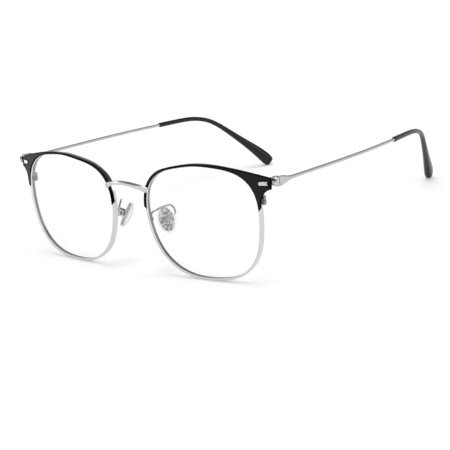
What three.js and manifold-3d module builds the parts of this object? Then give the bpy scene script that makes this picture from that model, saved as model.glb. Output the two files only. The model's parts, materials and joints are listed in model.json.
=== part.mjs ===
// Metal browline eyeglasses, standing open on the rims and the temple tips.
// Millimetres; +X is the wearer's left, the front faces -Y, +Z is up.
import * as THREE from "three";
import { mergeVertices } from "three/addons/utils/BufferGeometryUtils.js";
import Module from "manifold-3d";

const wasm = await Module();
wasm.setup();

const degree = Math.PI / 180;

// Lenses and their box
const lensWidth = 50.7;
const lensHeight = 43.1;
const lensGap = 17.6;
const lensBaseRadius = 128;
const lensThickness = 1.7;
const faceWrap = 4.9 * degree;
// Harmonics of the rim's outline round its centre: order, cosine share, sine share
const outlineShares = [
  [2, 0.0845, 0],
  [3, -0.0118, 0.0314],
  [4, -0.0307, -0.0051],
  [5, -0.0041, 0.0093],
  [6, -0.01, -0.001],
  [7, 0.0016, -0.0031],
];
// Rings of a lens face, as shares of the way from the centre to the edge
const lensRingShares = [0.04, 0.35, 0.7, 1];

// Eyewire, a grooved wire rolled round the lens
const eyewireThickness = 0.85;
const eyewireDepth = 2;
const eyewireEdge = 0.14;
const grooveDepth = 0.45;
const grooveWidth = 0.76;
const eyewireSlit = 0.3;
const bevelClearance = 0.08;
const lensEdgeClearance = 0.12;

// Brow trim over the upper half of the rim
const browThickness = 0.3;
const browReveal = 0.2;
const browMedialReveal = 0.04;
const browWidth = 1.25;
const browTopWidth = 1;
const browShoulderWidth = 1.2;
const browTipWidth = 1.25;
const browChamfer = 0.12;
const browWrapDepth = 0.55;
const browShoulderDepth = 1.6;
const browLipDepth = 0.2;
const browTipBevel = 0.9;
const browLateralTip = 12.6 * degree;
const browMedialTip = 172.8 * degree;
const browTopStart = 92 * degree;
const browTopEnd = 125 * degree;
const browShoulderStart = 138 * degree;
const browShoulderFull = 148 * degree;
const browShoulderEnd = 154 * degree;
const wingRootLow = 27 * degree;
const wingRootHigh = 31 * degree;
const wingBlend = 66 * degree;
const wingReach = 29.95;
const wingTop = 17.25;
const wingEndHeight = 3.9;
const wingThickness = 0.5;
// Handles of the wing's two edges, as shares of the box between the ends of each edge
const wingTopHandleShares = [0.5, 0.3];
const wingLowHandleShares = [0.05, 0.66, 0.31, 0.9];
const seatClearance = 0.08;

// Inlay bar in the wing
const inlayLength = 3.6;
const inlayHeight = 1.3;
const inlayThickness = 0.34;
const inlayNotch = 0.75;
const inlayProud = 0.08;
const inlayEndMargin = 1.05;
const inlayDrop = 1.9;
const inlayRecessMargin = 0.2;

// Bridge
const bridgeHeight = 1.3;
const bridgeDepth = 1.4;
const bridgeEndHeight = 2.1;
const bridgeEndDepth = 0.75;
const bridgeEndLevel = 10.5;
const bridgeRise = 2.85;
const bridgeBow = 2.8;
const bridgeArchShare = 2;
const bridgeFlareShare = 0.45;
const bridgeOverlap = 1;
const bridgeNotchClearance = 0.14;

// Closing block behind the lateral rim
const closingLevel = 8.9;
const closingHeight = 2.8;
const closingRadius = 0.95;
const closingSplit = 0.3;
const closingScrewRadius = 0.42;
const closingHeadRadius = 0.8;
const closingHeadHeight = 0.4;

// Endpiece: a plate behind the wing, a neck past the wing's end and a rounded heel at the joint
const endpieceThickness = 0.9;
const endpieceMargin = 0.35;
const endpieceNeckHeight = 1.1;
const heelLength = 2.1;
// Heel sections: shares of its length, of the head's width and height, and their squareness
const heelShares = [
  [0, 0.34, 0.3, 2],
  [0.16, 0.66, 0.62, 2.3],
  [0.42, 0.92, 0.88, 2.8],
  [0.8, 1, 1, 3.4],
  [1, 0.96, 0.97, 3.6],
];

// Hinge
const hingeLevel = 15.7;
const hingeHeight = 2.6;
const jointGap = 0.25;
const hingeLeaf = 0.25;
const knuckleRadius = 1.1;
const knuckleGap = 0.12;
const hingeScrewRadius = 0.5;
const hingeScrewHeadRadius = 0.85;
const hingeScrewHeadHeight = 0.35;
// Arms of the knuckles, as shares of the knuckle's radius
const frontArmShare = 0.85;
const templeArmShares = [-0.2, 1.9];
const screwClearance = 0.08;
const runningClearance = 0.12;
const slotWidth = 0.26;
const slotDepth = 0.2;

// Temple
const templeX = 65.4;
const templeLength = 148.4;
const templeWire = 1.35;
const templeCore = 1;
const templeDrop = 3.07 * degree;
const templeBow = 8 * degree;
const bowStart = 30;
const bowLength = 60;
const headWidth = 1.6;
const headHeight = 3.8;
const headLength = 8;
// Head sections: shares of its length, of its extra width and height, and their squareness
const headShares = [
  [0, 0.9, 0.95, 3.6],
  [0.06, 1, 1, 3.4],
  [0.3, 0.96, 0.95, 2.8],
  [0.5, 0.7, 0.66, 2.4],
  [0.72, 0.3, 0.27, 2.1],
  [1, 0, 0, 2],
];
const tipSleeveLength = 68.4;
const coreInTip = 42;
const earBendStart = 93.5;
const earBendLength = 27;
const earDrop = 38.4 * degree;
const earTuck = 19.4 * degree;
const tipCurl = 7.5 * degree;
const tipCurlLength = 14;
const bladeTwist = 14.6 * degree;

// Temple tip: a sleeve that swells into a paddle
const sleeveMouth = 2.2;
const sleeveBend = 2.1;
const paddleHeight = 5.9;
const paddleWidth = 3.9;
const sleeveWallClearance = 0.1;
const sleeveSquareness = 2.3;
// Tip sections: share of its length, share of the mouth's size and of the way from bend to paddle
const tipShares = [
  [0, 0.9, 0],
  [0.012, 1, 0],
  [0.1, 0.8, 0],
  [0.2, 0.5, 0],
  [0.3, 0.15, 0],
  [0.4, 0, 0],
  [0.46, 0, 0.02],
  [0.53, 0, 0.06],
  [0.61, 0, 0.14],
  [0.69, 0, 0.26],
  [0.77, 0, 0.44],
  [0.85, 0, 0.7],
  [0.92, 0, 0.93],
  [0.965, 0, 1],
  [0.988, 0, 0.93],
  [1, 0, 0.72],
];

// Nose pads
const padLength = 11;
const padWidth = 7.4;
const padDome = 2;
const padBack = 0.6;
// Pad sections: shares of its thickness before the back face, and of its length and width
const padBackShares = [
  [1, 0.93],
  [0.6, 0.99],
];
const padDomeShares = [
  [0, 1],
  [0.35, 0.95],
  [0.65, 0.81],
  [0.88, 0.58],
  [1, 0.22],
];
const padSplay = 28 * degree;
const padFlare = 28 * degree;
const padX = 10.5;
const padY = 8.65;
const padLevel = -3.2;
const coreLengthShare = 0.86;
const coreWidthShare = 0.77;
const coreThickness = 1.1;
const coreEdge = 0.22;
const corePocketClearance = 0.08;
const padAxisOffset = 2.1;
const postWidth = 1.4;
const postHalfHeight = 0.8;

// Pad box, screw and arm
const boxWidth = 2.6;
const boxHeight = 2.6;
const boxEar = 0.45;
const boxEarLength = 1;
const boxBase = 0.45;
const boxBaseOffset = 1;
const padScrewRadius = 0.38;
const padScrewHeadRadius = 0.75;
const padScrewHeadHeight = 0.4;
const padArmWire = 0.9;
const padArmRise = 2.4;
const padArmSwing = 1.5;
const padArmOverhang = 1.6;
// Places along the arm's climb from the rim: share of the way, of the swing back and of the rise
const padArmClimbShares = [
  [0.2, 0.5, 0.5],
  [0.45, 0.9, 0.95],
  [0.72, 1, 1],
];
const padArmSeatShare = 0.35;
const padFootClearance = 0.12;
const padFootLow = 184.5 * degree;
const padFootHigh = 178.5 * degree;

// Fineness of the round forms
const rimSteps = 66;
const lensSteps = 52;
const browLowSteps = 8;
const browEndSteps = 2;
const browTopSteps = 10;
const browRimSteps = 28;
const wireSides = 10;
const screwSides = 12;
const knuckleSides = 18;
const bridgeSteps = 20;
const wireStation = 12;
const coreStation = 5;
const padSides = 20;
const padArmSteps = 26;
const centrelineSteps = 298;
const cutOverrun = 1;
// The lateral and the medial side of the rim lie between these angles and the level ones
const lateralSide = 75 * degree;
const medialSide = 110 * degree;

const silver = { color: 0xc9cacb, roughness: 0.22, metalness: 1 };
const blackPaint = { color: 0x262625, roughness: 0.32, metalness: 0.1 };
const acetate = { color: 0x131313, roughness: 0.2, metalness: 0 };
const clearLens = { color: 0xf4f7f8, roughness: 0.02, metalness: 0, transparent: true, opacity: 0.15 };
const silicone = { color: 0xf1f2f2, roughness: 0.25, metalness: 0, transparent: true, opacity: 0.45 };
const hardClear = { color: 0xdadcdd, roughness: 0.15, metalness: 0, transparent: true, opacity: 0.6 };

// Booleans

function bareCopy(geometry) {
  const copy = geometry.clone();
  copy.deleteAttribute("normal");
  copy.deleteAttribute("uv");
  return mergeVertices(copy);
}

function solidOf(geometry) {
  const merged = bareCopy(geometry);
  return new wasm.Manifold(
    new wasm.Mesh({
      numProp: 3,
      vertProperties: merged.attributes.position.array,
      triVerts: new Uint32Array(merged.index.array),
    }),
  );
}

function geometryOf(solid) {
  const mesh = solid.getMesh();
  const geometry = new THREE.BufferGeometry();
  geometry.setAttribute("position", new THREE.BufferAttribute(mesh.vertProperties, 3));
  geometry.setIndex(new THREE.BufferAttribute(mesh.triVerts, 1));
  return geometry;
}

function join(first, ...others) {
  const total = others.reduce((sum, other) => sum.add(solidOf(other)), solidOf(first));
  return geometryOf(total);
}

function cut(first, ...others) {
  const rest = others.reduce((left, other) => left.subtract(solidOf(other)), solidOf(first));
  return geometryOf(rest);
}

// Lofts and small solids

function signedVolume(geometry) {
  const position = geometry.attributes.position;
  const index = geometry.index.array;
  const [a, b, c] = [new THREE.Vector3(), new THREE.Vector3(), new THREE.Vector3()];
  let sum = 0;
  for (let i = 0; i < index.length; i += 3) {
    a.fromBufferAttribute(position, index[i]);
    b.fromBufferAttribute(position, index[i + 1]);
    c.fromBufferAttribute(position, index[i + 2]);
    sum += a.dot(b.cross(c));
  }
  return sum;
}

// Turns the faces of an indexed solid so that they point out.
function facedOut(geometry) {
  if (signedVolume(geometry) > 0) return geometry;
  const index = geometry.index.array;
  for (let i = 0; i < index.length; i += 3) {
    [index[i + 1], index[i + 2]] = [index[i + 2], index[i + 1]];
  }
  return geometry;
}

// A skin over rings of equal count. The two end caps fan out from the ring's vertex hub,
// or from the ring's middle when no hub is given.
function loft(rings, hub) {
  const count = rings[0].length;
  const points = rings.flat();
  const faces = [];
  for (let i = 0; i + 1 < rings.length; i += 1) {
    for (let j = 0; j < count; j += 1) {
      const k = (j + 1) % count;
      const [a, b] = [i * count + j, i * count + k];
      faces.push(a, b, b + count, a, b + count, a + count);
    }
  }
  const cap = (start, turn) => {
    let centre = start + hub;
    if (hub === undefined) {
      const middle = new THREE.Vector3();
      for (let j = 0; j < count; j += 1) middle.add(points[start + j]);
      centre = points.length;
      points.push(middle.divideScalar(count));
    }
    for (let j = 0; j < count; j += 1) {
      const [a, b] = [start + j, start + ((j + 1) % count)];
      if (a === centre || b === centre) continue;
      if (turn) faces.push(centre, b, a);
      else faces.push(centre, a, b);
    }
  };
  cap(0, true);
  cap((rings.length - 1) * count, false);
  const geometry = new THREE.BufferGeometry().setFromPoints(points);
  geometry.setIndex(faces);
  return facedOut(geometry);
}

// A ring between an ellipse, at squareness 2, and a rectangle, at high squareness.
function roundedRing(centre, across, up, width, height, squareness, sides) {
  const power = 2 / squareness;
  return Array.from({ length: sides }, (_, j) => {
    const turn = (2 * Math.PI * (j + 1 / 2)) / sides;
    const [c, s] = [Math.cos(turn), Math.sin(turn)];
    return centre
      .clone()
      .addScaledVector(across, Math.sign(c) * Math.abs(c) ** power * (width / 2))
      .addScaledVector(up, Math.sign(s) * Math.abs(s) ** power * (height / 2));
  });
}

// An upright rod whose lower end is at z = 0.
function rod(radius, height, sides = screwSides) {
  const geometry = new THREE.CylinderGeometry(radius, radius, height, sides);
  geometry.rotateX(Math.PI / 2);
  geometry.translate(0, 0, height / 2);
  return geometry;
}

// A box between two corners.
function block(low, high) {
  const size = high.clone().sub(low);
  const geometry = new THREE.BoxGeometry(size.x, size.y, size.z);
  const middle = low.clone().lerp(high, 1 / 2);
  geometry.translate(middle.x, middle.y, middle.z);
  return geometry;
}

// An upright screw: the head's underside is at z = 0 and the shank hangs below it.
function slottedScrew(shankRadius, shankLength, headRadius, headHeight) {
  const profile = [
    new THREE.Vector2(0, -shankLength),
    new THREE.Vector2(shankRadius, -shankLength),
    new THREE.Vector2(shankRadius, 0),
    new THREE.Vector2(headRadius, 0),
    new THREE.Vector2(headRadius, headHeight / 2),
    new THREE.Vector2(headRadius - headHeight / 4, headHeight),
    new THREE.Vector2(0, headHeight),
  ];
  const turned = new THREE.LatheGeometry(profile, screwSides);
  turned.rotateX(Math.PI / 2);
  const slot = block(
    new THREE.Vector3(-headRadius - cutOverrun, -slotWidth / 2, headHeight - slotDepth),
    new THREE.Vector3(headRadius + cutOverrun, slotWidth / 2, headHeight + cutOverrun),
  );
  return cut(turned, slot);
}

// Outline of the rim's opening and the curved lens surface

const bevelHeight = grooveDepth - bevelClearance;

function unitOutline(angle) {
  let radius = 1;
  for (const [order, cosineShare, sineShare] of outlineShares) {
    radius += cosineShare * Math.cos(order * angle) + sineShare * Math.sin(order * angle);
  }
  return new THREE.Vector2(radius * Math.cos(angle), radius * Math.sin(angle));
}

const unitBox = new THREE.Box2();
for (let i = 0; i < 360; i += 1) unitBox.expandByPoint(unitOutline(i * degree));

const outlineScale = new THREE.Vector2(lensWidth - 2 * bevelHeight, lensHeight - 2 * bevelHeight)
  .divide(unitBox.getSize(new THREE.Vector2()));

// The opening's edge at a polar angle, moved outwards by a distance.
function rimOutline(angle, outwards = 0) {
  const nudge = degree / 10;
  const before = unitOutline(angle - nudge).multiply(outlineScale);
  const after = unitOutline(angle + nudge).multiply(outlineScale);
  const along = after.sub(before).normalize();
  const normal = new THREE.Vector2(along.y, -along.x);
  return unitOutline(angle).multiply(outlineScale).addScaledVector(normal, outwards);
}

// The polar angle at which the opening's edge reaches a level, between two angles.
function angleAtLevel(level, low, high) {
  let [a, b] = [low, high];
  for (let i = 0; i < 40; i += 1) {
    const middle = (a + b) / 2;
    if (rimOutline(a).y < level === rimOutline(middle).y < level) a = middle;
    else b = middle;
  }
  return (a + b) / 2;
}

// A flat place in the lens's outline, laid on the lens surface and moved back by a depth.
function onLensSurface(point, depth) {
  const sagitta = lensBaseRadius - Math.sqrt(lensBaseRadius ** 2 - point.lengthSq());
  return new THREE.Vector3(point.x, sagitta + depth, point.y);
}

function onRim(angle, outwards, depth) {
  return onLensSurface(rimOutline(angle, outwards), depth);
}

// A flat outline bent onto the lens surface, between two depths.
function bentPlate(shape, nearDepth, farDepth) {
  const geometry = new THREE.ExtrudeGeometry(shape, {
    depth: 1,
    bevelEnabled: false,
    curveSegments: 8,
  });
  const position = geometry.attributes.position;
  for (let i = 0; i < position.count; i += 1) {
    const flat = new THREE.Vector2(position.getX(i), position.getY(i));
    const depth = THREE.MathUtils.lerp(nearDepth, farDepth, position.getZ(i));
    const bent = onLensSurface(flat, depth);
    position.setXYZ(i, bent.x, bent.y, bent.z);
  }
  return facedOut(bareCopy(geometry));
}

// From the frame of one eye to the frame of the whole front.
const eyeCentre = lensGap / 2 + bevelHeight - unitBox.min.x * outlineScale.x;
const eyeMatrix = new THREE.Matrix4().makeRotationZ(faceWrap).setPosition(eyeCentre, 0, 0);

function inFront(pointInEye) {
  return pointInEye.clone().applyMatrix4(eyeMatrix);
}

// Lens: two curved faces and the V bevel that sits in the eyewire's groove

function lensGeometry() {
  const grooveMiddle = eyewireDepth / 2;
  const [front, back] = [grooveMiddle - lensThickness / 2, grooveMiddle + lensThickness / 2];
  const bevelHalf = grooveWidth / 2 - bevelClearance;
  const ring = (share, outwards, depth) =>
    Array.from({ length: lensSteps }, (_, i) => {
      const point = rimOutline((2 * Math.PI * i) / lensSteps, outwards);
      return onLensSurface(point.multiplyScalar(share), depth);
    });
  const frontFace = lensRingShares.map((share) => ring(share, -lensEdgeClearance, front));
  const backFace = lensRingShares.map((share) => ring(share, -lensEdgeClearance, back));
  return loft([
    ...frontFace,
    ring(1, -lensEdgeClearance, grooveMiddle - bevelHalf),
    ring(1, bevelHeight, grooveMiddle),
    ring(1, -lensEdgeClearance, grooveMiddle + bevelHalf),
    ...backFace.toReversed(),
  ]);
}

// Eyewire: one turn of grooved wire, from one side of the slit to the other

const closingAngle = angleAtLevel(closingLevel, 0, lateralSide);

function eyewireGeometry() {
  const middle = eyewireDepth / 2;
  const section = [
    [grooveDepth, middle],
    [0, middle + grooveWidth / 2],
    [0, eyewireDepth],
    [eyewireThickness - eyewireEdge, eyewireDepth],
    [eyewireThickness, eyewireDepth - eyewireEdge],
    [eyewireThickness, eyewireEdge],
    [eyewireThickness - eyewireEdge, 0],
    [0, 0],
    [0, middle - grooveWidth / 2],
  ];
  const halfSlit = eyewireSlit / 2 / rimOutline(closingAngle).length();
  const turn = 2 * Math.PI - 2 * halfSlit;
  const rings = Array.from({ length: rimSteps + 1 }, (_, i) => {
    const angle = closingAngle + halfSlit + (turn * i) / rimSteps;
    return section.map(([outwards, depth]) => onRim(angle, outwards, depth));
  });
  return loft(rings, 0);
}

// Brow trim: an L section over the rim's front and outside, drawn out into the wing

const browFront = -(seatClearance + browThickness);
const wingRear = browFront + wingThickness;
const browFlange = eyewireThickness + seatClearance;
const tipBevelAngle = browTipBevel / rimOutline(0).length();

// How far the trim's outer edge leads its inner edge, so that both tips end in a slant.
function browSlant(angle) {
  const nearness = (distance) => Math.max(0, 1 - distance / (2 * tipBevelAngle));
  return tipBevelAngle * (nearness(angle - browLateralTip) - nearness(browMedialTip - angle));
}

function browOuter(angle) {
  const { lerp, smoothstep } = THREE.MathUtils;
  let width = lerp(browWidth, browTopWidth, smoothstep(angle, wingBlend, browTopStart));
  width = lerp(width, browShoulderWidth, smoothstep(angle, browTopEnd, browShoulderStart));
  width = lerp(width, browTipWidth, smoothstep(angle, browShoulderFull, browShoulderEnd));
  return rimOutline(angle + browSlant(angle), width);
}

// The trim leaves a thin line of the eyewire's front bare, and covers it at the medial tip.
function browInset(angle) {
  const covering = THREE.MathUtils.smoothstep(angle, browShoulderStart, browShoulderEnd);
  return THREE.MathUtils.lerp(browReveal, browMedialReveal, covering);
}

function wingEdges() {
  const lowEnd = new THREE.Vector2(wingReach, wingTop - wingEndHeight);
  const highEnd = new THREE.Vector2(wingReach, wingTop);
  const start = browOuter(browLateralTip);
  const blend = browOuter(wingBlend);
  const between = (from, to, shareU, shareV) =>
    new THREE.Vector2(
      THREE.MathUtils.lerp(from.x, to.x, shareU),
      THREE.MathUtils.lerp(from.y, to.y, shareV),
    );
  const [u1, v1, u2, v2] = wingLowHandleShares;
  const [u3, v3] = wingTopHandleShares;
  return {
    low: new THREE.CubicBezierCurve(
      start,
      between(start, lowEnd, u1, v1),
      between(start, lowEnd, u2, v2),
      lowEnd,
    ),
    end: new THREE.LineCurve(lowEnd, highEnd),
    top: new THREE.QuadraticBezierCurve(highEnd, between(blend, highEnd, u3, v3), blend),
  };
}

function browDepth(angle) {
  if (angle > browShoulderEnd) return browLipDepth;
  const shoulder = THREE.MathUtils.smoothstep(angle, browShoulderStart, browShoulderFull);
  const wing = THREE.MathUtils.smoothstep(angle, wingRootHigh, wingBlend);
  const wall = THREE.MathUtils.lerp(wingRear, browWrapDepth, wing);
  return THREE.MathUtils.lerp(wall, browShoulderDepth, shoulder);
}

// Each station pairs an angle on the opening with a point on the trim's outer edge.
function browStations() {
  const { low, end, top } = wingEdges();
  const stations = [[browLateralTip, low.getPoint(0)]];
  const follow = (outerAt, from, to, steps) => {
    for (let i = 1; i <= steps; i += 1) {
      const angle = THREE.MathUtils.lerp(from, to, i / steps);
      stations.push([angle, outerAt(i / steps, angle)]);
    }
  };
  follow((share) => low.getPoint(share), browLateralTip, wingRootLow, browLowSteps);
  follow((share) => end.getPoint(share), wingRootLow, wingRootHigh, browEndSteps);
  follow((share) => top.getPoint(share), wingRootHigh, wingBlend, browTopSteps);
  follow((share, angle) => browOuter(angle), wingBlend, browMedialTip, browRimSteps);
  return stations;
}

function browBody() {
  const rings = browStations().map(([angle, outer]) => {
    const inner = rimOutline(angle, browInset(angle));
    const flange = rimOutline(angle + browSlant(angle), browFlange);
    const depth = browDepth(angle);
    const chamfered = outer.clone().lerp(inner, browChamfer / outer.distanceTo(inner));
    return [
      onLensSurface(flange, -seatClearance),
      onLensSurface(inner, -seatClearance),
      onLensSurface(inner, browFront),
      onLensSurface(inner.clone().lerp(outer, 1 / 2), browFront),
      onLensSurface(chamfered, browFront),
      onLensSurface(outer, browFront + browChamfer),
      onLensSurface(outer, depth),
      onLensSurface(flange.clone().lerp(outer, 1 / 2), depth),
      onLensSurface(flange, depth),
    ];
  });
  return loft(rings, 0);
}

// Inlay and its recess: a bar with a round inner end and a forked outer end

const inlayLevel = wingTop - inlayDrop;
const inlayOuterEnd = wingReach - inlayEndMargin;

function inlayShape(margin) {
  const half = inlayHeight / 2 + margin;
  const outerEnd = inlayOuterEnd + margin;
  const roundCentre = inlayOuterEnd - inlayLength + inlayHeight / 2;
  const shape = new THREE.Shape();
  shape.moveTo(outerEnd, inlayLevel + half);
  shape.lineTo(roundCentre, inlayLevel + half);
  shape.absarc(roundCentre, inlayLevel, half, Math.PI / 2, (3 * Math.PI) / 2, false);
  shape.lineTo(outerEnd, inlayLevel - half);
  if (margin === 0) shape.lineTo(outerEnd - inlayNotch, inlayLevel);
  shape.closePath();
  return shape;
}

const inlayFront = browFront - inlayProud;
const inlayBack = inlayFront + inlayThickness;

function browGeometry(bridgeSolid) {
  const recess = bentPlate(
    inlayShape(inlayRecessMargin),
    browFront - cutOverrun,
    inlayBack + seatClearance,
  );
  return cut(browBody(), recess, bridgeSolid);
}

// Bridge: an arched bar whose flattened ends lie on the rims' fronts

const bridgeAngle = angleAtLevel(bridgeEndLevel, medialSide, Math.PI);

function bridgeGeometry(clearance) {
  const seat = [0, eyewireThickness].map((outwards) => inFront(onRim(bridgeAngle, outwards, 0)));
  const endX = seat[1].x + bridgeOverlap;
  const endY = Math.min(seat[0].y, seat[1].y) - seatClearance - bridgeEndDepth / 2;
  const centre = (share) => {
    const rise = 1 - Math.abs(share) ** bridgeArchShare;
    return new THREE.Vector3(share * endX, endY - bridgeBow * rise, bridgeEndLevel + bridgeRise * rise);
  };
  const rings = Array.from({ length: bridgeSteps + 1 }, (_, i) => {
    const share = (2 * i) / bridgeSteps - 1;
    const along = centre(Math.min(share + 1 / bridgeSteps, 1))
      .sub(centre(Math.max(share - 1 / bridgeSteps, -1)))
      .normalize();
    const back = new THREE.Vector3(0, 1, 0).addScaledVector(along, -along.y).normalize();
    const up = along.clone().cross(back);
    const flare = THREE.MathUtils.smoothstep(Math.abs(share), bridgeFlareShare, 1);
    const height = THREE.MathUtils.lerp(bridgeHeight, bridgeEndHeight, flare) + 2 * clearance;
    const depth = THREE.MathUtils.lerp(bridgeDepth, bridgeEndDepth, flare) + 2 * clearance;
    return roundedRing(centre(share), back, up, depth, height, 4, wireSides);
  });
  return loft(rings);
}

// Closing block: two halves on the slit's sides, drawn together by an upright screw

const closingCentre = inFront(onRim(closingAngle, eyewireThickness / 2, eyewireDepth));
closingCentre.x += closingRadius / 2;
closingCentre.y += seatClearance;
closingCentre.z = closingLevel;

function closingHalf(bottom, top) {
  const shape = new THREE.Shape();
  shape.moveTo(-closingRadius, 0);
  shape.lineTo(closingRadius, 0);
  shape.lineTo(closingRadius, closingRadius);
  shape.absarc(0, closingRadius, closingRadius, 0, Math.PI, false);
  shape.closePath();
  const body = new THREE.ExtrudeGeometry(shape, {
    depth: top - bottom,
    bevelEnabled: false,
    curveSegments: 12,
  });
  body.translate(0, 0, bottom);
  const bore = rod(closingScrewRadius + screwClearance, top - bottom + 2 * cutOverrun);
  bore.translate(0, closingRadius, bottom - cutOverrun);
  return cut(body, bore);
}

function closingScrew() {
  const screw = slottedScrew(
    closingScrewRadius,
    closingHeight,
    closingHeadRadius,
    closingHeadHeight,
  );
  screw.rotateX(Math.PI);
  screw.translate(0, closingRadius, -closingHeight / 2 - seatClearance);
  return screw;
}

// Endpiece

const endpieceReach = (templeX - eyeCentre) / Math.cos(faceWrap) + headWidth / 2;
const plateFront = wingRear + seatClearance;
const plateRear = plateFront + endpieceThickness;
const jointY = inFront(onLensSurface(new THREE.Vector2(endpieceReach, hingeLevel), plateRear)).y;
const hingeLow = hingeLevel - hingeHeight / 2;
const hingeHigh = hingeLevel + hingeHeight / 2;

const templeInnerX = templeX - headWidth / 2;
const axisX = templeInnerX - runningClearance - knuckleRadius;
const axisY = jointY + hingeLeaf + seatClearance + runningClearance + knuckleRadius;
const knuckleHeight = (hingeHeight - 2 * knuckleGap) / 3;

function endpieceShape() {
  const rimGap = browFlange + seatClearance;
  const footAngle = angleAtLevel(closingLevel + closingHeight / 2 + endpieceMargin, 0, lateralSide);
  const headAngle = angleAtLevel(hingeHigh - endpieceMargin, 0, lateralSide);
  const steps = 5;
  const points = Array.from({ length: steps + 1 }, (_, i) =>
    rimOutline(THREE.MathUtils.lerp(footAngle, headAngle, i / steps), rimGap),
  );
  const foot = points[0];
  const plateEnd = wingReach - endpieceMargin;
  const [neckLow, neckHigh] = [-1, 1].map((side) => hingeLevel + (side * endpieceNeckHeight) / 2);
  const shape = new THREE.Shape(points);
  shape.lineTo(plateEnd, hingeHigh);
  shape.lineTo(plateEnd, neckHigh);
  shape.lineTo(endpieceReach, neckHigh);
  shape.lineTo(endpieceReach, neckLow);
  shape.lineTo(plateEnd, neckLow);
  shape.lineTo(plateEnd, hingeLow);
  shape.quadraticCurveTo(foot.x + endpieceThickness, hingeLow, foot.x + endpieceThickness, foot.y);
  shape.closePath();
  return shape;
}

function endpieceGeometry() {
  const plate = bentPlate(endpieceShape(), plateFront, plateRear);
  plate.applyMatrix4(eyeMatrix);
  const hingeSeat = block(
    new THREE.Vector3(axisX - knuckleRadius, jointY - endpieceThickness, hingeLow),
    new THREE.Vector3(templeX, jointY, hingeHigh),
  );
  const [across, up] = [new THREE.Vector3(1, 0, 0), new THREE.Vector3(0, 0, 1)];
  const heel = loft(
    heelShares.map(([place, widthShare, heightShare, squareness]) => {
      const centre = new THREE.Vector3(templeX, jointY - heelLength * (1 - place), hingeLevel);
      const [width, height] = [headWidth * widthShare, headHeight * heightShare];
      return roundedRing(centre, across, up, width, height, squareness, wireSides);
    }),
  );
  return join(plate, hingeSeat, heel);
}

// Hinge, drawn round its own upright axis

function knuckle(bottom, height, armLow, armHigh) {
  const barrel = rod(knuckleRadius, height, knuckleSides);
  barrel.translate(0, 0, bottom);
  const arm = block(
    new THREE.Vector3(armLow.x, armLow.y, bottom),
    new THREE.Vector3(armHigh.x, armHigh.y, bottom + height),
  );
  return join(barrel, arm);
}

function hingeBore() {
  const bore = rod(hingeScrewRadius + screwClearance, hingeHeight + 2 * cutOverrun);
  bore.translate(0, 0, -hingeHeight / 2 - cutOverrun);
  return bore;
}

function frontHingeGeometry() {
  const leafFar = -(axisY - jointY - seatClearance);
  const leafNear = leafFar + hingeLeaf;
  const half = hingeHeight / 2;
  const leaf = block(
    new THREE.Vector3(-knuckleRadius, leafFar, -half),
    new THREE.Vector3(knuckleRadius, leafNear, half),
  );
  const armLow = new THREE.Vector2(-knuckleRadius, leafFar);
  const armHigh = new THREE.Vector2(knuckleRadius * frontArmShare, 0);
  const lower = knuckle(-half, knuckleHeight, armLow, armHigh);
  const upper = knuckle(half - knuckleHeight, knuckleHeight, armLow, armHigh);
  return cut(join(leaf, lower, upper), hingeBore());
}

function templeHingeGeometry() {
  const [armFront, armRear] = templeArmShares.map((share) => share * knuckleRadius);
  const armLow = new THREE.Vector2(0, armFront);
  const armHigh = new THREE.Vector2(templeInnerX - seatClearance - axisX, armRear);
  const middle = knuckle(-knuckleHeight / 2, knuckleHeight, armLow, armHigh);
  return cut(middle, hingeBore());
}

function hingeScrewGeometry() {
  const screw = slottedScrew(
    hingeScrewRadius,
    hingeHeight + seatClearance,
    hingeScrewHeadRadius,
    hingeScrewHeadHeight,
  );
  screw.rotateX(Math.PI);
  screw.translate(0, 0, -hingeHeight / 2 - seatClearance);
  return screw;
}

// Temple: its centreline bows in, then drops and tucks in behind the ear

function templeDirection(length) {
  const { smoothstep } = THREE.MathUtils;
  const bend = smoothstep(length, earBendStart, earBendStart + earBendLength);
  const curl = smoothstep(length, templeLength - tipCurlLength, templeLength);
  const bow = smoothstep(length, bowStart, bowStart + bowLength);
  const yaw = templeBow * bow + earTuck * bend;
  const pitch = templeDrop + earDrop * bend + tipCurl * curl;
  return new THREE.Vector3(
    -Math.sin(yaw) * Math.cos(pitch),
    Math.cos(yaw) * Math.cos(pitch),
    -Math.sin(pitch),
  );
}

// Points along the temple, in the hinge's frame, at even steps.
const centrelineStep = templeLength / centrelineSteps;
const centreline = [new THREE.Vector3(templeX - axisX, jointY + jointGap - axisY, 0)];
for (let i = 0; i < centrelineSteps; i += 1) {
  const heading = templeDirection((i + 1 / 2) * centrelineStep);
  centreline.push(centreline.at(-1).clone().addScaledVector(heading, centrelineStep));
}

function templeRing(length, width, height, squareness) {
  const place = length / centrelineStep;
  const index = Math.min(Math.floor(place), centreline.length - 2);
  const point = centreline[index].clone().lerp(centreline[index + 1], place - index);
  const along = length === 0 ? new THREE.Vector3(0, 1, 0) : templeDirection(length);
  const twist = bladeTwist * THREE.MathUtils.smoothstep(length, earBendStart, templeLength);
  const across = along.clone().cross(new THREE.Vector3(0, 0, 1)).normalize();
  across.applyAxisAngle(along, twist);
  const up = across.clone().cross(along);
  return roundedRing(point, across, up, width, height, squareness, wireSides);
}

const sleeveStart = templeLength - tipSleeveLength;

// Even stations between two places, no further apart than the spacing.
function stationsBetween(from, to, spacing) {
  const count = Math.ceil((to - from) / spacing);
  return Array.from({ length: count + 1 }, (_, i) => THREE.MathUtils.lerp(from, to, i / count));
}

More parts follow.
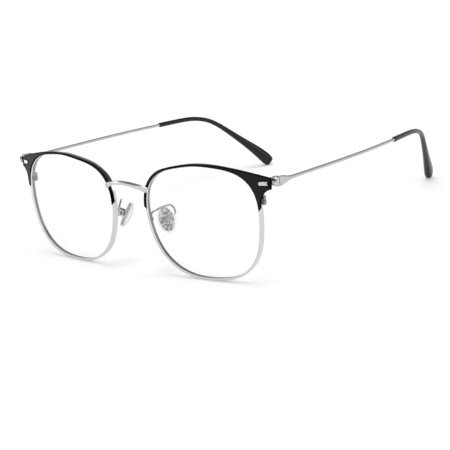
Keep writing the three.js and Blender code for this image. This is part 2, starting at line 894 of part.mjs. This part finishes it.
function templeGeometry() {
  const head = headShares.map(([place, widen, heighten, squareness]) => {
    const width = THREE.MathUtils.lerp(templeWire, headWidth, widen);
    const height = THREE.MathUtils.lerp(templeWire, headHeight, heighten);
    return templeRing(headLength * place, width, height, squareness);
  });
  const wireEnd = sleeveStart - jointGap;
  const wire = stationsBetween(headLength, wireEnd, wireStation)
    .slice(1)
    .map((length) => templeRing(length, templeWire, templeWire, 2));
  const core = stationsBetween(sleeveStart - jointGap / 2, sleeveStart + coreInTip, coreStation).map(
    (length) => templeRing(length, templeCore, templeCore, 2),
  );
  return loft([...head, ...wire, ...core]);
}

// Temple tip: a sleeve bored for the core, swelling into a flat paddle with a round end

function tipGeometry() {
  const bore = templeCore + 2 * sleeveWallClearance;
  const boreEnd = sleeveStart + coreInTip + jointGap;
  const inside = stationsBetween(sleeveStart, boreEnd, coreStation)
    .toReversed()
    .map((length) => templeRing(length, bore, bore, 2));
  const outside = tipShares.map(([place, ofMouth, toPaddle]) => {
    const base = THREE.MathUtils.lerp(sleeveBend, sleeveMouth, ofMouth);
    const width = THREE.MathUtils.lerp(base, paddleWidth, toPaddle);
    const height = THREE.MathUtils.lerp(base, paddleHeight, toPaddle);
    return templeRing(sleeveStart + tipSleeveLength * place, width, height, sleeveSquareness);
  });
  return loft([...inside, ...outside]);
}

// Nose pad, drawn in its own frame: +X away from the nose, +Y back, +Z along the oval

function ovalRing(x, length, width) {
  return Array.from({ length: padSides }, (_, i) => {
    const turn = (2 * Math.PI * i) / padSides;
    return new THREE.Vector3(x, (width / 2) * Math.cos(turn), (length / 2) * Math.sin(turn));
  });
}

const coreLength = padLength * coreLengthShare;
const coreWidth = padWidth * coreWidthShare;
const coreFloor = padBack - coreThickness;

function nosePadGeometry() {
  const [pocketLength, pocketWidth] = [coreLength, coreWidth].map(
    (size) => size + 2 * corePocketClearance,
  );
  const ring = (x, size) => ovalRing(x, padLength * size, padWidth * size);
  return loft([
    ovalRing(coreFloor - corePocketClearance, pocketLength, pocketWidth),
    ovalRing(padBack, pocketLength, pocketWidth),
    ...padBackShares.map(([place, size]) => ring(padBack * place, size)),
    ...padDomeShares.map(([place, size]) => ring(-padDome * place, size)),
  ]);
}

function padCoreGeometry() {
  const plate = loft([
    ovalRing(coreFloor, coreLength - 2 * coreEdge, coreWidth - 2 * coreEdge),
    ovalRing(coreFloor + coreEdge, coreLength, coreWidth),
    ovalRing(padBack, coreLength, coreWidth),
  ]);
  const root = padBack - coreThickness / 2;
  const post = new THREE.Shape();
  post.moveTo(root, -postHalfHeight);
  post.lineTo(padAxisOffset, -postHalfHeight);
  post.absarc(padAxisOffset, 0, postHalfHeight, -Math.PI / 2, Math.PI / 2, false);
  post.lineTo(root, postHalfHeight);
  post.closePath();
  const tab = new THREE.ExtrudeGeometry(post, {
    depth: postWidth,
    bevelEnabled: false,
    curveSegments: 8,
  });
  tab.rotateX(Math.PI / 2);
  tab.translate(0, postWidth / 2, 0);
  return cut(join(plate, tab), padScrewBore());
}

function padScrewBore() {
  const bore = rod(padScrewRadius + screwClearance, boxWidth + 2 * cutOverrun);
  bore.rotateX(Math.PI / 2);
  bore.translate(padAxisOffset, boxWidth / 2 + cutOverrun, 0);
  return bore;
}

function padBoxGeometry() {
  const [halfWidth, halfHeight] = [boxWidth / 2, boxHeight / 2];
  const [earTip, baseX] = [padAxisOffset - boxEarLength, padAxisOffset + boxBaseOffset];
  const roomHalf = halfWidth - boxEar;
  const roomEnd = halfHeight + cutOverrun;
  const cup = block(
    new THREE.Vector3(earTip, -halfWidth, -halfHeight),
    new THREE.Vector3(baseX + boxBase, halfWidth, halfHeight),
  );
  const room = block(
    new THREE.Vector3(earTip - cutOverrun, -roomHalf, -roomEnd),
    new THREE.Vector3(baseX, roomHalf, roomEnd),
  );
  return cut(cup, room, padScrewBore());
}

function padScrewGeometry() {
  const screw = slottedScrew(
    padScrewRadius,
    boxWidth + seatClearance,
    padScrewHeadRadius,
    padScrewHeadHeight,
  );
  screw.rotateX(Math.PI / 2);
  screw.translate(padAxisOffset, -boxWidth / 2 - seatClearance, 0);
  return screw;
}

const padMatrix = new THREE.Matrix4()
  .makeRotationFromEuler(new THREE.Euler(0, -padFlare, -padSplay, "ZYX"))
  .setPosition(padX, padY, padLevel);

// Pad arm: its foot lies along the back of the rim, and the wire loops up and back and comes
// down behind the box, across whose base it is brazed

function padArmGeometry() {
  const depth = eyewireDepth + padFootClearance + padArmWire / 2;
  const low = inFront(onRim(padFootLow, eyewireThickness / 2, depth));
  const high = inFront(onRim(padFootHigh, eyewireThickness / 2, depth));
  const seatX = padAxisOffset + boxBaseOffset + boxBase + seatClearance + padArmWire / 2;
  const onPad = (back, rise) => new THREE.Vector3(seatX, back, rise).applyMatrix4(padMatrix);
  const end = onPad(-boxWidth * padArmSeatShare, 0);
  const entry = onPad(boxWidth / 2, 0);
  const turn = onPad(boxWidth / 2 + padArmOverhang, padArmRise / 2);
  const climb = padArmClimbShares.map(([way, swing, rise]) => {
    const point = high.clone().lerp(turn, way);
    point.y += padArmSwing * swing;
    point.z += padArmRise * rise;
    return point;
  });
  const points = [low, high, ...climb, turn, entry, end];
  const wire = new THREE.Shape();
  wire.absarc(0, 0, padArmWire / 2, 0, 2 * Math.PI, false);
  return new THREE.ExtrudeGeometry(wire, {
    steps: padArmSteps,
    curveSegments: 4,
    bevelEnabled: false,
    extrudePath: new THREE.CatmullRomCurve3(points, false, "centripetal"),
  });
}

// Assembly

function piece(name, geometry, finish) {
  const mesh = new THREE.Mesh(geometry, new THREE.MeshStandardMaterial({ ...finish, flatShading: true }));
  mesh.name = name;
  return mesh;
}

const bridgeCutter = bridgeGeometry(bridgeNotchClearance);
bridgeCutter.applyMatrix4(eyeMatrix.clone().invert());

// One side of the glasses, as the wearer's left; the right side is its mirror image.
function sideGroup(side) {
  const eye = new THREE.Group();
  eye.applyMatrix4(eyeMatrix);
  eye.add(
    piece(side + "_eyewire", eyewireGeometry(), silver),
    piece(side + "_lens", lensGeometry(), clearLens),
    piece(side + "_brow", browGeometry(bridgeCutter), blackPaint),
    piece(side + "_inlay", bentPlate(inlayShape(0), inlayFront, inlayBack), silver),
  );

  const closing = new THREE.Group();
  closing.position.copy(closingCentre);
  const [half, split] = [closingHeight / 2, closingSplit / 2];
  closing.add(
    piece(side + "_closing_block_upper", closingHalf(split, half), silver),
    piece(side + "_closing_block_lower", closingHalf(-half, -split), silver),
    piece(side + "_closing_screw", closingScrew(), silver),
  );

  const hinge = new THREE.Group();
  hinge.position.set(axisX, axisY, hingeLevel);
  hinge.add(
    piece(side + "_front_hinge", frontHingeGeometry(), silver),
    piece(side + "_hinge_screw", hingeScrewGeometry(), silver),
  );

  const temple = new THREE.Group();
  temple.position.copy(hinge.position);
  temple.add(
    piece(side + "_temple", templeGeometry(), silver),
    piece(side + "_temple_hinge", templeHingeGeometry(), silver),
    piece(side + "_temple_tip", tipGeometry(), acetate),
  );

  const pad = new THREE.Group();
  pad.applyMatrix4(padMatrix);
  pad.add(
    piece(side + "_pad_box", padBoxGeometry(), silver),
    piece(side + "_pad_screw", padScrewGeometry(), silver),
    piece(side + "_pad_core", padCoreGeometry(), hardClear),
    piece(side + "_nose_pad", nosePadGeometry(), silicone),
  );

  const group = new THREE.Group();
  group.add(
    eye,
    closing,
    piece(side + "_endpiece", endpieceGeometry(), silver),
    hinge,
    temple,
    piece(side + "_pad_arm", padArmGeometry(), silver),
    pad,
  );
  return group;
}

const leftSide = sideGroup("left");
const rightSide = sideGroup("right");
rightSide.scale.x = -1;

const glasses = new THREE.Group();
glasses.add(leftSide, rightSide, piece("bridge", bridgeGeometry(0), silver));

// Lean of the whole frame at which rims and temple tips touch the same flat surface.
function lowestPoint(name, lean) {
  const mesh = leftSide.getObjectByName(name);
  const position = mesh.geometry.attributes.position;
  const point = new THREE.Vector3();
  const lowest = new THREE.Vector3(0, 0, Infinity);
  for (let i = 0; i < position.count; i += 1) {
    point.fromBufferAttribute(position, i).applyMatrix4(mesh.matrixWorld);
    point.applyAxisAngle(new THREE.Vector3(1, 0, 0), lean);
    if (point.z < lowest.z) lowest.copy(point);
  }
  return lowest;
}

function standingLean() {
  leftSide.updateMatrixWorld(true);
  let lean = 0;
  for (let i = 0; i < 12; i += 1) {
    const rim = lowestPoint("left_eyewire", lean);
    const tip = lowestPoint("left_temple_tip", lean);
    lean -= Math.atan2(tip.z - rim.z, tip.y - rim.y);
  }
  return lean;
}

glasses.rotation.x = standingLean();
glasses.updateMatrixWorld(true);
const bounds = new THREE.Box3().setFromObject(glasses, true);
const middleY = (bounds.min.y + bounds.max.y) / 2;
glasses.position.set(0, -middleY, -bounds.min.z);

export default glasses;
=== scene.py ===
import json
import math

import bmesh
import bpy
from mathutils import Matrix, Vector

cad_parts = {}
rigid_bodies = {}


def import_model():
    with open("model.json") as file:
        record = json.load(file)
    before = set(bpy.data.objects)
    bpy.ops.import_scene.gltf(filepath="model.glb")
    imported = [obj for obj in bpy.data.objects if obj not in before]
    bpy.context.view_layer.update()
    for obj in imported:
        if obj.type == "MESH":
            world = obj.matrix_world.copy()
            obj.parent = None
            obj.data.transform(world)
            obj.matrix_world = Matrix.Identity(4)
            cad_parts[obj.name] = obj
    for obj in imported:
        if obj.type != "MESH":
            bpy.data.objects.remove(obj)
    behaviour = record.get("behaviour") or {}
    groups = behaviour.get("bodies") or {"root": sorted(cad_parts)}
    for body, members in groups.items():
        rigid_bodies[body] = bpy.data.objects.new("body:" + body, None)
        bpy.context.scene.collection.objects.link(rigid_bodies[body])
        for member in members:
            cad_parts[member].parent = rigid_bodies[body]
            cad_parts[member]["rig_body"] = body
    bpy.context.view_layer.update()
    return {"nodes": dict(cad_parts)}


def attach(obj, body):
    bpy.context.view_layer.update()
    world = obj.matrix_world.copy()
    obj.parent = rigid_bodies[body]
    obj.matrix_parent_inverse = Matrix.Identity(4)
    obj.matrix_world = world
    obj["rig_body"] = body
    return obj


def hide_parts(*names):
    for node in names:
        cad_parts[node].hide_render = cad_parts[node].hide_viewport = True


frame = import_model()


# Camera. A long lens stands at the wearer's left, a little above the glasses, and is rolled a few
# degrees, so that the far side climbs in the picture. It aims at the card between the temples.
aim = Vector((-0.005261, -0.011309, -0.000773))
azimuth, elevation = math.radians(41.0946), math.radians(16.87)
distance, roll = 0.5349, math.radians(-7.25)
back = Vector((
    math.sin(azimuth) * math.cos(elevation),
    -math.cos(azimuth) * math.cos(elevation),
    math.sin(elevation),
))
level_right = Vector((math.cos(azimuth), math.sin(azimuth), 0.0))
level_up = back.cross(level_right)
right = level_right * math.cos(roll) + level_up * math.sin(roll)
up = level_up * math.cos(roll) - level_right * math.sin(roll)
lens = bpy.data.cameras.new("camera")
lens.lens, lens.sensor_width = 102.1, 36.0
lens.clip_start, lens.clip_end = 0.02, 20.0
camera = bpy.data.objects.new("camera", lens)
camera.matrix_world = Matrix((right, up, back)).transposed().to_4x4()
camera.location = aim + distance * back
bpy.context.scene.collection.objects.link(camera)
bpy.context.scene.camera = camera
bpy.context.scene.view_settings.view_transform = "Standard"


# Studio. The glasses stand on a sheet of white card in a white room, among three soft boxes. The
# card takes a faint shadow. What metal mirrors gets darker upwards and towards one end of the room.
class Wire:
    """One output of a shader node. Sums, products and the like on it add Math nodes."""

    def __init__(self, shader, socket):
        self.shader, self.socket = shader, socket

    def maths(self, operation, *values):
        return self.shader.add("ShaderNodeMath", {"operation": operation}, *values)["Value"]

    def __add__(self, other):
        return self.maths("ADD", self, other)

    def __rsub__(self, other):
        return self.maths("SUBTRACT", other, self)

    def __mul__(self, other):
        return self.maths("MULTIPLY", self, other)

    def __pow__(self, other):
        return self.maths("POWER", self, other)

    def __or__(self, other):
        return self.maths("MAXIMUM", self, other)

    __radd__, __rmul__ = __add__, __mul__


class Shader:
    """The nodes of one material or of the world."""

    def __init__(self, owner):
        owner.use_nodes = True
        self.owner, self.tree = owner, owner.node_tree
        self.tree.nodes.clear()

    def put(self, socket, value):
        if isinstance(value, Wire):
            self.tree.links.new(value.socket, socket)
        else:
            socket.default_value = value

    def add(self, kind, settings, *values, **named):
        node = self.tree.nodes.new(kind)
        for name, setting in settings.items():
            if name == "stops":
                ramp = node.color_ramp.elements
                while len(ramp) < len(setting):
                    ramp.new(0.5)
                for element, (place, shade) in zip(ramp, setting):
                    element.position, element.color = place, grey(shade)
            else:
                setattr(node, name, setting)
        for socket, value in zip(node.inputs, values):
            self.put(socket, value)
        for name, value in named.items():
            self.put(node.inputs[name.replace("_", " ")], value)
        return {output.name: Wire(self, output) for output in node.outputs}

    def mix(self, share, first, second):
        node = self.tree.nodes.new("ShaderNodeMix")
        node.data_type = "RGBA"
        sockets = (node.inputs[0], node.inputs[6], node.inputs[7])
        for socket, value in zip(sockets, (share, first, second)):
            self.put(socket, value)
        return Wire(self, node.outputs[2])

    def ramp(self, value, *stops):
        return self.add("ShaderNodeValToRGB", {"stops": stops}, value)["Color"]

    def along(self, direction, axis):
        settings = {"operation": "DOT_PRODUCT"}
        return self.add("ShaderNodeVectorMath", settings, direction, axis)["Value"]

    def noise(self, place, scale, detail, distortion=0.0):
        return self.add(
            "ShaderNodeTexNoise", {}, Vector=place, Scale=scale, Detail=detail, Distortion=distortion
        )["Fac"]

    def bump(self, height, strength):
        """A relief of fine marks, 0.02 mm deep at full strength."""
        deepest = 0.00002
        return self.add(
            "ShaderNodeBump", {}, Strength=strength, Distance=deepest, Height=height
        )["Normal"]

    def surface(self, **sockets):
        """One Principled surface, as all there is to the material."""
        principled = self.add("ShaderNodeBsdfPrincipled", {}, **sockets)["BSDF"]
        self.add("ShaderNodeOutputMaterial", {}, principled)
        return self.owner


def grey(shade, tint=(1.0, 1.0, 1.0)):
    """A shade of grey, or of grey with a tint, as red, green, blue and alpha."""
    return tuple(shade * share for share in tint) + (1.0,)


def soft_box(name, place, target, size, power):
    """A square lamp that faces its target."""
    data = bpy.data.lights.new(name, "AREA")
    data.shape, data.size, data.energy = "SQUARE", size, power
    lamp = bpy.data.objects.new(name, data)
    lamp.location = place
    lamp.rotation_mode = "QUATERNION"
    lamp.rotation_quaternion = (Vector(target) - Vector(place)).to_track_quat("-Z", "Y")
    bpy.context.scene.collection.objects.link(lamp)


soft_box("soft_box_above", (0.05, -0.06, 0.9), (0.0, 0.0, 0.0), size=0.5, power=2.6)
soft_box("soft_box_left", (-1.0, -0.75, 0.2), (0.0, 0.0, 0.02), size=0.35, power=1.5)
soft_box("soft_box_right", (0.9, 0.4, 0.4), (0.05, 0.07, 0.0), size=0.5, power=1.2)

room = bpy.data.worlds.new("room")
bpy.context.scene.world = room
shader = Shader(room)
ray = shader.add("ShaderNodeLightPath", {})
seen = ray["Is Camera Ray"] | ray["Is Transmission Ray"]
direction = shader.add("ShaderNodeTexCoord", {})["Generated"]
dark_end = (math.sin(azimuth), -math.cos(azimuth), 0.0)
upwards = (0.0, 0.0, 1.0)
lengthwise = shader.along(direction, dark_end)
height = shader.along(direction, upwards)
end_to_end = shader.ramp(
    lengthwise * 0.5 + 0.5, (0.0, 1.0), (0.5, 0.9), (0.75, 0.5), (1.0, 0.35)
)
up_the_walls = shader.ramp(
    height, (0.0, 1.0), (0.12, 0.95), (0.3, 0.55), (0.45, 0.34), (0.8, 0.28), (1.0, 0.35)
)
mirrored = end_to_end * up_the_walls
ambient = shader.mix(ray["Is Glossy Ray"], grey(0.6), mirrored)
light = shader.mix(seen, ambient, grey(1.0))
background = shader.add("ShaderNodeBackground", {}, light, 1.0)["Background"]
shader.add("ShaderNodeOutputWorld", {}, background)

card_half = 3.0
card_corners = [(x * card_half, y * card_half, 0.0) for x, y in ((-1, -1), (1, -1), (1, 1), (-1, 1))]
card_mesh = bpy.data.meshes.new("card")
card_mesh.from_pydata(card_corners, [], [(0, 1, 2, 3)])
card = bpy.data.objects.new("card", card_mesh)
bpy.context.scene.collection.objects.link(card)
shader = Shader(bpy.data.materials.new("white_card"))
ray = shader.add("ShaderNodeLightPath", {})
seen = ray["Is Camera Ray"] | ray["Is Transmission Ray"] | ray["Is Glossy Ray"]
matt = shader.add("ShaderNodeBsdfDiffuse", {}, grey(0.86))["BSDF"]
place = shader.add("ShaderNodeTexCoord", {})["Object"]
away = shader.add("ShaderNodeVectorMath", {"operation": "LENGTH"}, place)["Value"]
glow_near, glow_far = (0.12, 0.25), (0.6, 0.5)
glow = shader.add("ShaderNodeEmission", {}, seen * shader.ramp(away, glow_near, glow_far), 1.0)
surface = shader.add("ShaderNodeAddShader", {}, matt, glow["Emission"])["Shader"]
shader.add("ShaderNodeOutputMaterial", {}, surface)
card_mesh.materials.append(shader.owner)


# Eyewires. One grooved wire of nickel silver is rolled round each lens, brazed to the closing
# block at its two ends and plated. Its outside is polished. Inside it, the lip before the lens
# is satin and painted lighter, a painted highlight, and the groove behind it is painted darker,
# a painted shade.
def refined(node, material, crease=34.0, levels=2):
    """A smooth, welded copy of a CAD node, whose edges over the crease angle stay crisp."""
    weld, flat, askew = 2e-6, math.radians(16.0), math.radians(70.0)
    source = frame["nodes"][node]
    piece = bpy.data.objects.new(node + "_finished", source.data.copy())
    bpy.context.scene.collection.objects.link(piece)
    mesh = bmesh.new()
    mesh.from_mesh(piece.data)
    bmesh.ops.remove_doubles(mesh, verts=mesh.verts, dist=weld)
    bmesh.ops.join_triangles(
        mesh, faces=mesh.faces, angle_face_threshold=flat, angle_shape_threshold=askew
    )
    layer = mesh.edges.layers.float.get("crease_edge") or mesh.edges.layers.float.new("crease_edge")
    for edge in mesh.edges:
        sharp = edge.calc_face_angle(0.0) > math.radians(crease)
        edge[layer] = 1.0 if sharp else 0.0
        edge.smooth = not sharp
    for face in mesh.faces:
        face.smooth = True
    mesh.to_mesh(piece.data)
    mesh.free()
    piece.data.materials.clear()
    piece.data.materials.append(material)
    if levels:
        smoothing = piece.modifiers.new("smoothing", "SUBSURF")
        smoothing.levels = smoothing.render_levels = levels
    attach(piece, source["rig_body"])
    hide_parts(node)
    return piece


def eased(node, material, width=0.00007):
    """A welded copy of a CAD node with its edges broken by a fine bevel."""
    crease = 28.0
    piece = refined(node, material, crease, levels=0)
    bevel = piece.modifiers.new("bevel", "BEVEL")
    bevel.width, bevel.segments = width, 2
    bevel.limit_method, bevel.angle_limit = "ANGLE", math.radians(crease)
    bevel.harden_normals = True
    return piece


def silver_plate(name, shade, rough, grain=(1.0, 1.0, 1.0), metallic=1.0):
    """Silver plating: a faint cloudiness in its polish, and fine wheel marks along one axis."""
    shader = Shader(bpy.data.materials.new(name))
    place = shader.add("ShaderNodeTexCoord", {})["Object"]
    cloud = shader.noise(place, scale=260.0, detail=3.0)
    stretched = shader.add("ShaderNodeMapping", {}, Vector=place, Scale=grain)["Vector"]
    marks = shader.noise(stretched, scale=4000.0, detail=2.0)
    return shader.surface(
        Base_Color=shader.mix(cloud, grey(shade, (0.94, 0.94, 0.945)), grey(shade)),
        Metallic=metallic,
        Roughness=rough - 0.05 + 0.06 * cloud + 0.04 * marks,
        Normal=shader.bump(marks, strength=0.05),
    )


bright_silver = silver_plate("bright_silver", shade=0.65, rough=0.2)
# The groove's plating is painted darker, a painted shade, and the lip's is painted lighter, a painted
# highlight.
shaded_groove_silver = silver_plate("shaded_groove_silver", shade=0.3, rough=0.32)
lit_lip_silver = silver_plate("lit_lip_silver", shade=0.98, rough=0.5, metallic=0.45)
across_the_wire, inner_cosine = 0.0025, 0.4
shaded_groove_slot, lit_lip_slot = 1, 2
for side in ("left", "right"):
    eyewire = refined(side + "_eyewire", bright_silver)
    eyewire.data.materials.append(shaded_groove_silver)
    eyewire.data.materials.append(lit_lip_silver)
    corners = [corner.co for corner in eyewire.data.vertices]
    middle = sum(corners, Vector()) / len(corners)
    for face in eyewire.data.polygons:
        inwards = (middle - face.center).normalized()
        if face.normal.dot(inwards) > inner_cosine:
            near = [corner.y for corner in corners if (corner - face.center).length < across_the_wire]
            behind = face.center.y > (min(near) + max(near)) / 2
            face.material_index = shaded_groove_slot if behind else lit_lip_slot


# Lenses. Clear plastic blanks, curved towards the eye and ground at the edge to a V bevel that
# snaps into the eyewire. A hard coat gives them a thin cool reflection at a slant.
def clear_plastic(name, tint, rough, straight, slanted, ior, blend=0.35):
    """Clear moulded plastic, which gets denser to the eye where it is seen at a slant."""
    shader = Shader(bpy.data.materials.new(name))
    facing = shader.add("ShaderNodeLayerWeight", {}, Blend=blend)["Facing"]
    place = shader.add("ShaderNodeTexCoord", {})["Object"]
    cloud = shader.noise(place, scale=90.0, detail=2.0)
    return shader.surface(
        Base_Color=tint,
        Roughness=rough + 0.03 * cloud,
        IOR=ior,
        Alpha=straight + (slanted - straight) * facing ** 2.0,
    )


lens_plastic = clear_plastic(
    "lens_plastic", (0.93, 0.955, 0.97, 1.0), rough=0.02, straight=0.02, slanted=0.3, ior=1.5
)
for side in ("left", "right"):
    refined(side + "_lens", lens_plastic)


# Brow trims. A thin pressed plate covers the upper half of each rim and widens into the wing. It
# is sprayed black and baked. Round its face runs a turned border, duller and painted blacker as
# a painted shade, which takes up the narrow strip below the bridge, and its upper wall is glossy
# and painted a touch lighter, a painted highlight.
def black_lacquer(name, shade, rough, gloss):
    """Baked black paint with a faint orange peel and a cloudy gloss."""
    shader = Shader(bpy.data.materials.new(name))
    place = shader.add("ShaderNodeTexCoord", {})["Object"]
    peel = shader.noise(place, scale=2600.0, detail=2.0)
    cloud = shader.noise(place, scale=180.0, detail=3.0)
    return shader.surface(
        Base_Color=shader.mix(cloud, grey(shade, (0.85, 0.85, 0.82)), grey(shade, (1.15, 1.15, 1.12))),
        Roughness=rough - 0.03 + 0.08 * cloud,
        Normal=shader.bump(peel, strength=0.12),
        Specular_IOR_Level=gloss,
    )


brow_lacquer = black_lacquer("brow_lacquer", shade=0.0126, rough=0.34, gloss=0.17)
# The border's lacquer is a blacker copy, a painted shade; the upper wall's is a lighter, glossier copy, a
# painted highlight.
shaded_brow_border = black_lacquer("brow_edge", shade=0.0004, rough=0.4, gloss=0.02)
brow_wall = black_lacquer("brow_wall", shade=0.016, rough=0.3, gloss=0.8)
face_slot, shaded_border_slot, lit_wall_slot = 0, 1, 2
border_width, front_slope, wall_rise, wall_slope = 0.0003, -0.8, 0.25, -0.3
bridge_corners = [corner.co for corner in frame["nodes"]["bridge"].data.vertices]
beside_nose = 2 * max(corner.x for corner in bridge_corners)
bridge_overlap = 0.001
behind_bridge = min(corner.z for corner in bridge_corners) + bridge_overlap
for side in ("left", "right"):
    brow = refined(side + "_brow", brow_lacquer, crease=30.0, levels=0)
    brow.data.materials.append(shaded_brow_border)
    brow.data.materials.append(brow_wall)
    mesh = bmesh.new()
    mesh.from_mesh(brow.data)
    for face in mesh.faces:
        lit_upper_wall = face.normal.z > wall_rise and face.normal.y > wall_slope
        face.material_index = lit_wall_slot if lit_upper_wall else shaded_border_slot
    fronts = [face for face in mesh.faces if face.normal.y < front_slope]
    bmesh.ops.inset_region(mesh, faces=fronts, thickness=border_width, use_even_offset=False)
    for face in fronts:
        middle = face.calc_center_median()
        # The narrow strip below the bridge takes the border's painted shade.
        shaded_nasal_strip = abs(middle.x) < beside_nose and middle.z < behind_bridge
        face.material_index = shaded_border_slot if shaded_nasal_strip else face_slot
    mesh.to_mesh(brow.data)
    mesh.free()


# Inlays. A bar of bright metal with a round inner end and a forked outer end lies in a recess
# in each wing, glued on its back.
inlay_silver = silver_plate("inlay_silver", shade=0.86, rough=0.16, grain=(0.06, 1.0, 1.0))
for side in ("left", "right"):
    eased(side + "_inlay", inlay_silver, width=0.00008)


# Bridge. One drawn bar, arched over the nose, flattened at its ends and brazed on the fronts of
# both rims, where the brow trims are notched for it. Its finished copy is a little fuller.
bridge_silver = silver_plate("bridge_silver", shade=0.62, rough=0.2, grain=(0.15, 1.0, 1.0))
added_all_round = 0.00016
bridge = refined("bridge", bridge_silver, crease=40.0)
fuller = bridge.modifiers.new("fuller", "DISPLACE")
fuller.strength, fuller.mid_level = added_all_round, 0.0


# Closing blocks. Two half barrels are brazed to the ends of the eyewire behind its outer side,
# and an upright screw draws them together on the lens.
# The blocks' plating is painted much darker than the other silver, a painted shade standing in for their
# dark reflections.
shaded_block_silver = silver_plate("shaded_block_silver", shade=0.26, rough=0.22, grain=(1.0, 1.0, 0.2))
screw_steel = silver_plate("screw_steel", shade=0.4, rough=0.24)
screw_bevel = 0.00004
for side in ("left", "right"):
    eased(side + "_closing_block_upper", shaded_block_silver)
    eased(side + "_closing_block_lower", shaded_block_silver)
    eased(side + "_closing_screw", screw_steel, screw_bevel)


# Endpieces and hinges. A plate behind each wing runs out to a rounded heel at the joint. The
# hinge's three knuckles stand on its inner side, on one upright screw.
endpiece_silver = silver_plate("endpiece_silver", shade=0.55, rough=0.16, grain=(1.0, 0.4, 1.0))
for side in ("left", "right"):
    refined(side + "_endpiece", endpiece_silver, crease=38.0, levels=0)
    # The hinge knuckles share the blocks' darker plating, a painted shade.
    eased(side + "_front_hinge", shaded_block_silver)
    eased(side + "_temple_hinge", shaded_block_silver)
    eased(side + "_hinge_screw", screw_steel, screw_bevel)


# Temples. Each is one round wire with a forged head at the hinge, drawn thin, plated to a satin
# shine, and pushed far into its tip.
temple_silver = silver_plate("temple_silver", shade=0.56, rough=0.42, grain=(1.0, 0.1, 1.0))
for side in ("left", "right"):
    refined(side + "_temple", temple_silver, crease=50.0)


# Temple tips. Sleeves of black cellulose acetate are pushed over the wires, bent down behind the
# ear and barrelled to a deep gloss, with a flat paddle at the end.
def black_acetate(name):
    """Polished black acetate: a deep gloss, very fine polishing marks, a hint of brown depth."""
    black, brown = (0.001, 0.001, 0.001, 1.0), (0.003, 0.0029, 0.0027, 1.0)
    shader = Shader(bpy.data.materials.new(name))
    place = shader.add("ShaderNodeTexCoord", {})["Object"]
    cloud = shader.noise(place, scale=120.0, detail=3.0)
    marks = shader.noise(place, scale=3500.0, detail=1.0)
    return shader.surface(
        Base_Color=shader.mix(cloud, black, brown),
        Roughness=0.14 + 0.08 * cloud,
        Normal=shader.bump(marks, strength=0.06),
        Specular_IOR_Level=0.36,
    )


tip_acetate = black_acetate("tip_acetate")
for side in ("left", "right"):
    refined(side + "_temple_tip", tip_acetate, crease=50.0)


# Pad arms, boxes and screws. A thin wire brazed behind the rim loops up and over to a small cup
# with two ears, and a screw across the ears carries the pad.
arm_silver = silver_plate("arm_silver", shade=0.6, rough=0.2)
box_silver = silver_plate("box_silver", shade=0.9, rough=0.42)
for side in ("left", "right"):
    refined(side + "_pad_arm", arm_silver, crease=60.0)
    eased(side + "_pad_box", box_silver)
    eased(side + "_pad_screw", screw_steel, screw_bevel)


# Nose pads. Soft clear silicone is moulded round a hard clear core, whose post the screw holds.
# The core's faces are pressed with fine facets, whose glitter through the silicone is painted
# into its colour as small bright and dark glints, and its edge is dark.
def faceted_plastic(name):
    """Clear hard plastic with its facets' glitter painted on as small bright and dark glints, which fades
    out at a slant.
    """
    frosted = (0.92, 0.93, 0.94, 1.0)
    shader = Shader(bpy.data.materials.new(name))
    place = shader.add("ShaderNodeTexCoord", {})["Object"]
    facets = shader.add("ShaderNodeTexVoronoi", {}, Vector=place, Scale=850.0)["Distance"]
    cloud = shader.noise(place, scale=900.0, detail=2.0, distortion=1.5)
    # Bright and dark glints are painted into the base colour, standing in for the facets' glitter.
    painted_glitter = shader.ramp(
        facets * 0.4 + cloud * 0.7, (0.36, 0.03), (0.46, 0.2), (0.54, 0.55), (0.64, 0.95)
    )
    facing = shader.add("ShaderNodeLayerWeight", {}, Blend=0.35)["Facing"]
    return shader.surface(
        Base_Color=shader.mix(facing * 2.5, painted_glitter, frosted),
        Roughness=0.1 + 0.1 * cloud,
        IOR=1.55,
        Alpha=1.0 - 2.0 * facing,
    )


core_plastic = faceted_plastic("core_plastic")
core_edge = clear_plastic(
    "core_edge", (0.12, 0.12, 0.125, 1.0), rough=0.15, straight=0.6, slanted=0.8, ior=1.55
)
pad_silicone = clear_plastic(
    "pad_silicone", (0.62, 0.63, 0.64, 1.0), rough=0.22, straight=0.02, slanted=0.95, ior=1.42, blend=0.45
)
edge_slot, edge_cosine = 1, 0.5
for side in ("left", "right"):
    core = refined(side + "_pad_core", core_plastic, crease=30.0, levels=0)
    core.data.materials.append(core_edge)
    flat = max(core.data.polygons, key=lambda face: face.area).normal.copy()
    for face in core.data.polygons:
        if abs(face.normal.dot(flat)) < edge_cosine:
            face.material_index = edge_slot
    pad = refined(side + "_nose_pad", pad_silicone, crease=60.0)
